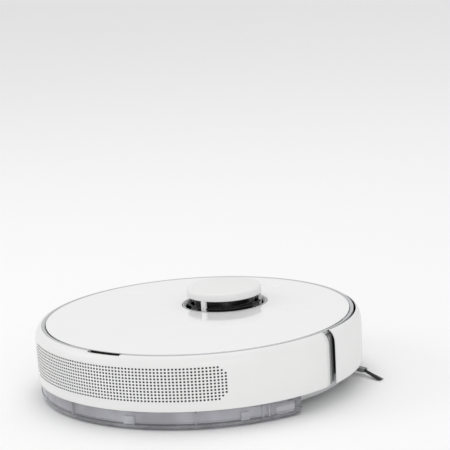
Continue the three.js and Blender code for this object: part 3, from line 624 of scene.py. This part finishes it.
def smoky(name, colour, roughness):
    """Tinted clear plastic: mostly see-through, a little milky, with a faint cloudiness from moulding."""
    material = bpy.data.materials.new(name)
    material.use_nodes = True
    nodes, links = material.node_tree.nodes, material.node_tree.links
    shader = nodes["Principled BSDF"]
    shader.inputs["Transmission Weight"].default_value = 0.8
    shader.inputs["IOR"].default_value = 1.3
    place = nodes.new("ShaderNodeTexCoord")
    cloud = nodes.new("ShaderNodeTexNoise")
    cloud.inputs["Scale"].default_value = 45
    cloud.inputs["Detail"].default_value = 4
    links.new(place.outputs["Object"], cloud.inputs["Vector"])
    ramp = nodes.new("ShaderNodeValToRGB")
    ramp.color_ramp.elements[0].position = 0.35
    ramp.color_ramp.elements[0].color = (*[c * 0.72 for c in colour], 1)
    ramp.color_ramp.elements[1].position = 0.65
    ramp.color_ramp.elements[1].color = (*colour, 1)
    links.new(cloud.outputs["Fac"], ramp.inputs["Fac"])
    links.new(ramp.outputs["Color"], shader.inputs["Base Color"])
    haze = nodes.new("ShaderNodeMapRange")
    haze.inputs["To Min"].default_value = roughness * 0.6
    haze.inputs["To Max"].default_value = roughness * 1.4
    links.new(cloud.outputs["Fac"], haze.inputs["Value"])
    links.new(haze.outputs["Result"], shader.inputs["Roughness"])
    return material


def arc_points(r, start, end, steps):
    """Points round the body between two angles, measured from the back towards the right."""
    return [(r * math.sin(a), -r * math.cos(a)) for a in np.linspace(start, end, steps)]


def tank_outline(inset, round_r=0.006):
    """The tank's plan: the round back between the two wing ends, then along the stepped front edge."""
    r = TANK_R - inset
    end = math.acos(-(tank_high.y - inset) / r) - round_r / r
    rim = arc_points(r, end, -end, 161)
    nose = []
    y_tip = tank_high.y - inset
    x_tip = math.sqrt(r * r - y_tip * y_tip) - round_r * 1.1
    p0, p2 = np.array(rim[-1]), np.array((-x_tip, y_tip))
    p1 = np.array((-math.sqrt(r * r - y_tip * y_tip), y_tip))
    for t in np.linspace(0, 1, 8)[1:]:
        nose.append(tuple((1 - t) ** 2 * p0 + 2 * t * (1 - t) * p1 + t * t * p2))
    front = TANK_FRONT - inset
    inner = [(-WING_X - inset, y_tip), (-WING_X - inset, front)]
    left = nose + inner
    return rim + left + [(-x, y) for x, y in left[::-1]]


smoke_clear = smoky("smoke-tinted clear plastic", (0.92, 0.92, 0.965), 0.16)
flange = 0.0075
tank_levels = [
    (SKIRT, TANK_FLOOR),
    (SKIRT, tank_low.z + 0.0002),
    (SKIRT - 0.0002, tank_low.z),
    (0.0034, tank_low.z),
    (0.0024, tank_low.z + 0.0003),
    (0.0014, tank_low.z + 0.0012),
    (0.0011, tank_low.z + 0.0026),
    (0.0009, flange),
    (0.0, flange + 0.0002),
    (0.0, flange + 0.0012),
    (0.0009, flange + 0.0014),
    (0.0003, tank_high.z - 0.0008),
    (0.0008, tank_high.z),
]
tank = plate("water_tank_clear_body", tank_outline(0), [], tank_levels, [smoke_clear])
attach(tank, "tank")
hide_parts("water_tank")
tank_core = moulded("grey tank inside", (0.74, 0.74, 0.78), 0.45, drift=0.25)
core_levels = [(0, TANK_FLOOR + 0.0018), (0.0004, tank_high.z - 0.0022)]
core = plate("water_tank_inside", tank_outline(0.009), [], core_levels, [tank_core])
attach(core, "tank")
THIN_RIB = 1.4
RIB_LOW = TANK_FLOOR + 0.002
rib_inner, rib_outer = TANK_R - 0.0088, TANK_R - 0.0024
thin_ribs = [(degrees, THIN_RIB) for degrees in (-57, -17, 33, 56.5, 58.7)]
wide_blocks = [(-40, 9), (9, 12), (50, 9)]
rib_points, rib_faces = [], []
for degrees, width in sorted(thin_ribs + wide_blocks):
    turn = math.radians(degrees)
    half_width = 0.0005 * width / TANK_R
    high = tank_high.z - (0.0024 if width < 2 else 0.006)
    start = len(rib_points)
    for a in (turn - half_width, turn + half_width):
        for r, z in [(rib_inner, RIB_LOW), (rib_outer, RIB_LOW), (rib_outer, high), (rib_inner, high)]:
            rib_points.append((r * math.sin(a), -r * math.cos(a), z))
    box_faces = [[0, 1, 2, 3], [7, 6, 5, 4], [0, 4, 5, 1], [1, 5, 6, 2], [2, 6, 7, 3], [3, 7, 4, 0]]
    rib_faces += [[start + i for i in face] for face in box_faces]
ribs = mesh_object("water_tank_ribs", rib_points, rib_faces, [tank_core], smooth=False)
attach(ribs, "tank")

# Tank latches: grey sprung tabs near the ends of the tank, squeezed inwards to unclip it. Each is a curved
# moulding with round corners, flush with the tank's side.
LATCH = {"from": math.radians(61), "to": math.radians(68.5), "corner": 0.0035, "thick": 0.0014}
latch_low, latch_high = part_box("tank_latch_right")
latch_grey = moulded("pale grey latch plastic", (0.42, 0.42, 0.45), 0.3, grain=0.03)


def latch_piece(name, side):
    """A curved tab: at each column its height shrinks towards the ends by a quarter circle."""
    points, faces, n = [], [], 9
    angles = np.linspace(LATCH["from"], LATCH["to"], 33)
    middle, half_z = (latch_low.z + latch_high.z) / 2, (latch_high.z - latch_low.z) / 2
    for a in angles:
        edge = min(a - LATCH["from"], LATCH["to"] - a) * TANK_R
        short = LATCH["corner"] - math.sqrt(LATCH["corner"] ** 2 - max(0, LATCH["corner"] - edge) ** 2)
        for v in np.linspace(-1, 1, n):
            r = TANK_R - 0.0006 - 0.0004 * v**4
            points.append((side * r * math.sin(a), -r * math.cos(a), middle + v * (half_z - short)))
    for i in range(len(angles) - 1):
        for j in range(n - 1):
            faces.append([i * n + j, (i + 1) * n + j, (i + 1) * n + j + 1, i * n + j + 1])
    made = mesh_object(name, points, faces, [latch_grey, latch_grey])
    face_outwards(made)
    thicken(made, LATCH["thick"])
    return made


for side, word in ((1, "right"), (-1, "left")):
    tab = latch_piece("tank_latch_tab_" + word, side)
    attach(tab, "tank_grip_" + word)
    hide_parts("tank_latch_" + word)

# Mop pad: white microfibre, a woven backing with a dense looped pile, held on the plate by hook-and-loop.
# Loose ends of the pile stand out along its edge.
pad_low, pad_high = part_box("mop_pad")


def cloth_material(name, colour):
    """Looped microfibre: small soft bumps with painted shade in their hollows, and a dusting of sheen."""
    material = bpy.data.materials.new(name)
    material.use_nodes = True
    nodes, links = material.node_tree.nodes, material.node_tree.links
    shader = nodes["Principled BSDF"]
    shader.inputs["Roughness"].default_value = 0.95
    shader.inputs["Sheen Weight"].default_value = 0.4
    place = nodes.new("ShaderNodeTexCoord")
    loops = nodes.new("ShaderNodeTexVoronoi")
    loops.inputs["Scale"].default_value = 620
    links.new(place.outputs["Object"], loops.inputs["Vector"])
    # Painted shade: the colour darkens towards the edge of each loop, in the hollows that the bump makes.
    ramp = nodes.new("ShaderNodeValToRGB")
    ramp.color_ramp.elements[0].color = (*colour, 1)
    ramp.color_ramp.elements[1].position = 0.75
    ramp.color_ramp.elements[1].color = (*[c * 0.55 for c in colour], 1)
    links.new(loops.outputs["Distance"], ramp.inputs["Fac"])
    links.new(ramp.outputs["Color"], shader.inputs["Base Color"])
    bump = nodes.new("ShaderNodeBump")
    bump.invert = True
    bump.inputs["Distance"].default_value = 0.0008
    links.new(loops.outputs["Distance"], bump.inputs["Height"])
    links.new(bump.outputs["Normal"], shader.inputs["Normal"])
    return material


def pad_outline(r, front, corner):
    """A round-backed pad with a straight front edge and round corners between them."""
    end = math.acos(-front / r) - corner / r
    rim = arc_points(r, end, -end, 121)
    x_tip = math.sqrt(r * r - front * front)
    p0, p1, p2 = np.array(rim[-1]), np.array((-x_tip, front)), np.array((-x_tip + 1.6 * corner, front))
    turn = [tuple((1 - t) ** 2 * p0 + 2 * t * (1 - t) * p1 + t * t * p2) for t in np.linspace(0, 1, 9)[1:]]
    return rim + turn + [(-x, y) for x, y in turn[::-1]]


def strand(points, faces, base, tip, bend, width, sides=4, steps=5):
    """Adds one bristle: a thin tube that tapers from its root to its tip and bows sideways by an offset."""
    base, tip, bend = np.array(base), np.array(tip), np.array(bend)
    along = (tip - base) / np.linalg.norm(tip - base)
    across = np.cross(along, (0, 0, 1.0))
    across = np.array((1.0, 0, 0)) if np.linalg.norm(across) < 1e-6 else across / np.linalg.norm(across)
    up = np.cross(across, along)
    start = len(points)
    for s in range(steps + 1):
        t = s / steps
        centre = base + (tip - base) * t + bend * t * t
        r = width / 2 * (1 - 0.55 * t)
        for k in range(sides):
            a = 2 * math.pi * k / sides
            points.append(centre + r * (math.cos(a) * across + math.sin(a) * up))
    for s in range(steps):
        for k in range(sides):
            a, b = start + s * sides + k, start + s * sides + (k + 1) % sides
            faces.append([a, b, b + sides, a + sides])
    last = start + steps * sides
    faces += [[start + k for k in range(sides)][::-1], [last + k for k in range(sides)]]


microfibre = cloth_material("white microfibre", (0.80, 0.80, 0.78))
pad_r = -pad_low.y - 0.0006
outline = pad_outline(pad_r, pad_high.y - 0.0006, 0.012)
pad_rings = [(0.0014, 0.0003), (0.0004, 0.0006), (0.0, 0.0012), (0.0005, 0.0019), (0.0016, pad_high.z)]
pad = plate("mop_pad_cloth", outline, [], pad_rings, [microfibre])
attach(pad, "tank")
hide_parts("mop_pad")
random.seed(11)
pile_points, pile_faces = [], []
loop = np.array(outline)
step = np.roll(loop, -1, 0) - loop
length = np.linalg.norm(step, axis=1)
for p, d, size in zip(loop, step, length):
    outward = np.array((d[1], -d[0])) / size
    if signed_area(outline) < 0:
        outward = -outward
    for _ in range(max(2, int(size / 0.0009))):
        at = p + d * random.random() - outward * 0.0012
        reach = outward * (0.0012 + 0.0009 * random.random())
        side_way = (random.random() - 0.5) * 0.0014
        lean = np.array((-outward[1], outward[0])) * side_way
        z = 0.0007 + 0.0010 * random.random()
        base = (at[0], at[1], z)
        tip = (at[0] + reach[0] + lean[0], at[1] + reach[1] + lean[1], 0.0003 + 0.0012 * random.random())
        strand(pile_points, pile_faces, base, tip, (0, 0, 0), 0.00028, 3, 2)
pile = mesh_object("mop_pad_pile_edge", pile_points, pile_faces, [microfibre])
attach(pile, "tank")

# Side brush: nylon bristles heat-set into the ends of the hub's three arms, splayed and slightly curved.
# Each bristle is a thin tapering tube whose root lies inside its arm.
screw_low, screw_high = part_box("side_brush_screw")
BRUSH_AT = ((screw_low.x + screw_high.x) / 2, (screw_low.y + screw_high.y) / 2)
BRISTLE_FROM, BRISTLE_TO = 0.040, 0.0725
REST_TURN = math.radians(-15)


def nylon(name, colour):
    """Drawn nylon: smooth and faintly shiny, a little paler here and there."""
    return moulded(name, colour, 0.38, grain=0.0, drift=0.25)


dark_nylon = nylon("dark nylon bristle", (0.035, 0.036, 0.038))
random.seed(5)
points, faces = [], []
for arm in range(3):
    turn = REST_TURN + arm * 2 * math.pi / 3
    for _ in range(90):
        spread = random.gauss(0, 0.4)
        spread = max(-1, min(1, spread))
        z0 = 0.0048 + 0.0022 * random.random()
        a = turn + spread * 0.035
        b = turn + spread * 0.055 - 0.05
        root = (BRUSH_AT[0] + BRISTLE_FROM * math.cos(a), BRUSH_AT[1] + BRISTLE_FROM * math.sin(a), z0)
        reach = BRISTLE_TO - 0.004 * random.random()
        z1 = 0.0006 + 0.0009 * random.random()
        tip = (BRUSH_AT[0] + reach * math.cos(b), BRUSH_AT[1] + reach * math.sin(b), z1)
        strand(points, faces, root, tip, (0, 0, -0.0002), 0.0004, 4, 5)
tufts = mesh_object("side_brush_bristle_tufts", points, faces, [dark_nylon])
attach(tufts, "side_brush")
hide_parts("side_brush_bristles")

# Roller brush: a moulded core with three rubber blades and three rows of nylon bristles, wound in a shallow
# V, held at one end by a bearing and driven by a square stub at the other.
roller_low, roller_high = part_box("brush_roller")
ROLLER = {"y": 0.052, "z": 0.0225, "r": 0.0203, "core": 0.009, "half": 0.0738}
dark_rubber = moulded("black rubber", (0.022, 0.022, 0.023), 0.62, grain=0.15, grain_scale=900)
core_plastic = moulded("roller core plastic", (0.05, 0.05, 0.055), 0.4)


def vee(x):
    """How far the blades have turned at a place along the roller: they wind outwards from the middle."""
    return 1.5 * abs(x / (2 * ROLLER["half"]))


def round_roller(x, r, angle):
    """A point on the roller, by its place along it, its distance from the axis and its angle."""
    return (x, ROLLER["y"] + r * math.cos(angle), ROLLER["z"] + r * math.sin(angle))


points, faces = [], []
along = np.linspace(-ROLLER["half"], ROLLER["half"], 41)
for blade in range(3):
    start = len(points)
    for x in along:
        a = vee(x) + 2 * math.pi * blade / 3
        for r, half_thick in [(0.0084, 0.0016), (0.0115, 0.0009), (ROLLER["r"], 0.0006)]:
            points.append(round_roller(x, r, a - half_thick / r))
        for r, half_thick in [(ROLLER["r"], 0.0006), (0.0115, 0.0009), (0.0084, 0.0016)]:
            points.append(round_roller(x, r, a + half_thick / r))
    for i in range(len(along) - 1):
        for k in range(6):
            a, b = start + 6 * i + k, start + 6 * i + (k + 1) % 6
            faces.append([a, b, b + 6, a + 6])
    last = start + 6 * (len(along) - 1)
    faces += [[start + k for k in range(6)], [last + k for k in range(6)][::-1]]
blades = mesh_object("roller_rubber_blades", points, faces, [dark_rubber], smooth=False)
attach(blades, "roller")
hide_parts("brush_roller")
points, faces = [], []
for x0, x1, r in [
    (-ROLLER["half"], ROLLER["half"], ROLLER["core"]),
    (-ROLLER["half"] - 0.0016, -ROLLER["half"] + 0.002, 0.006),
    (ROLLER["half"] - 0.002, ROLLER["half"] + 0.0016, 0.006),
    (roller_low.x + 0.0002, -ROLLER["half"], 0.003),
    (ROLLER["half"], roller_high.x, 0.003),
]:
    start, sides = len(points), 40
    for x in (x0, x1):
        points += [round_roller(x, r, 2 * math.pi * k / sides) for k in range(sides)]
    for k in range(sides):
        a, b = start + k, start + (k + 1) % sides
        faces.append([a, b, b + sides, a + sides])
    faces += [[start + k for k in range(sides)][::-1], [start + sides + k for k in range(sides)]]
roller_core = mesh_object("roller_core", points, faces, [core_plastic], smooth=False)
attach(roller_core, "roller")
random.seed(8)
points, faces = [], []
for row in range(3):
    for x in np.arange(-ROLLER["half"] + 0.001, ROLLER["half"] - 0.001, 0.0022):
        for _ in range(5):
            at = x + 0.0018 * (random.random() - 0.5)
            a = vee(at) + 2 * math.pi * (row + 0.5) / 3 + 0.05 * (random.random() - 0.5)
            tip_a = a + 0.08 * (random.random() - 0.5)
            tip_r = ROLLER["r"] - 0.0012 * random.random()
            root, tip = round_roller(at, 0.0085, a), round_roller(at, tip_r, tip_a)
            strand(points, faces, root, tip, (0, 0, 0), 0.0004, 3, 2)
roller_bristles = mesh_object("roller_bristle_rows", points, faces, [dark_nylon])
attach(roller_bristles, "roller")

# Everything else keeps its CAD shape: the underside, the wheels, the dust bin and the parts under the lid.
# Each takes the finish of its own material, and its moulded edges are slightly rounded.
def metal(name, colour, roughness, brushed):
    """Bare or plated metal with fine streaks along one way."""
    material = moulded(name, colour, roughness, grain=0.05, grain_scale=800, drift=0.08)
    nodes = material.node_tree.nodes
    nodes["Principled BSDF"].inputs["Metallic"].default_value = 1
    nodes["Principled BSDF"].inputs["Anisotropic"].default_value = brushed
    return material


def tread_rubber(name):
    """Tyre rubber: nearly black, dusty in patches and rough."""
    return moulded(name, (0.03, 0.03, 0.031), 0.8, grain=0.35, grain_scale=700, drift=0.3)


FINISH = {
    "gloss_white": white_gloss,
    "satin_white": white_satin,
    "trim_grey": silver,
    "liner_grey": moulded("mid-grey moulded plastic", (0.24, 0.245, 0.25), 0.42, grain=0.08),
    "base_grey": moulded("pale grey textured plastic", (0.60, 0.61, 0.62), 0.5, grain=0.22, grain_scale=1500),
    "frame_grey": moulded(
        "dark grey textured plastic", (0.06, 0.063, 0.07), 0.55, grain=0.25, grain_scale=1500
    ),
    "dark_plastic": moulded("black satin plastic", (0.014, 0.014, 0.016), 0.38, grain=0.08),
    "dark_window": dark_glass,
    "smoke": smoky("clear dust bin plastic", (0.55, 0.56, 0.60), 0.08),
    "rubber": dark_rubber,
    "tyre": tread_rubber("tyre rubber"),
    "cloth": microfibre,
    "filter": moulded("pleated filter paper", (0.82, 0.83, 0.84), 0.9, grain=0.4, grain_scale=1800),
    "board": moulded(
        "green lacquered board", (0.02, 0.16, 0.08), 0.35, grain=0.1, grain_scale=400, drift=0.2
    ),
    "steel": metal("drawn steel", (0.62, 0.63, 0.65), 0.28, 0.5),
    "contact": metal("plated contact", (0.80, 0.62, 0.30), 0.22, 0.2),
    "accent": moulded("orange moulded plastic", (0.80, 0.24, 0.04), 0.4, grain=0.08),
    "bristle": dark_nylon,
}
for part in frame["record"]["subparts"]:
    node = frame["nodes"][part["node"]]
    if node.hide_render:
        continue
    for k in range(max(1, len(node.material_slots))):
        if not node.material_slots:
            node.data.materials.append(None)
        node.material_slots[k].material = FINISH[part["material_slot"]]
    merged = node.modifiers.new("merged corners", "WELD")
    merged.merge_threshold = 0.000005
    edges = node.modifiers.new("soft edges", "BEVEL")
    edges.width = 0.00025
    edges.segments = 2
    edges.limit_method = "ANGLE"
    edges.angle_limit = math.radians(38)

# Floor and light: a plain pale floor under large soft boxes in a white room. The floor lies a hair below
# the machine, so that the two never share a face.
floor_material = bpy.data.materials.new("pale floor")
floor_material.use_nodes = True
floor_shader = floor_material.node_tree.nodes["Principled BSDF"]
floor_shader.inputs["Base Color"].default_value = (0.97, 0.97, 0.97, 1)
floor_shader.inputs["Roughness"].default_value = 0.8
FLOOR_HALF = 9.0
corners = [(x * FLOOR_HALF, y * FLOOR_HALF, 0) for x, y in ((-1, -1), (1, -1), (1, 1), (-1, 1))]
floor = mesh_object("floor", corners, [[0, 1, 2, 3]], [floor_material], smooth=False)
floor.location.z = -0.0002

world = bpy.data.worlds.new("white room")
bpy.context.scene.world = world
world.use_nodes = True
world.node_tree.nodes["Background"].inputs["Color"].default_value = (1, 1, 1, 1)
world.node_tree.nodes["Background"].inputs["Strength"].default_value = 0.76


def soft_box(name, place, size, power):
    """A square area light that points at the machine."""
    light = bpy.data.lights.new(name, "AREA")
    light.size = size
    light.energy = power
    made = bpy.data.objects.new(name, light)
    made.location = place
    made.rotation_euler = (Vector((0, 0, 0.05)) - Vector(place)).to_track_quat("-Z", "Y").to_euler()
    bpy.context.scene.collection.objects.link(made)


soft_box("overhead box", (-0.3, 0.4, 2.2), 1.8, 9)
soft_box("left box", (-1.9, -1.2, 1.4), 1.2, 8)
soft_box("right box", (1.9, -1.6, 0.9), 1.4, 9)
bpy.context.scene.view_settings.view_transform = "Standard"
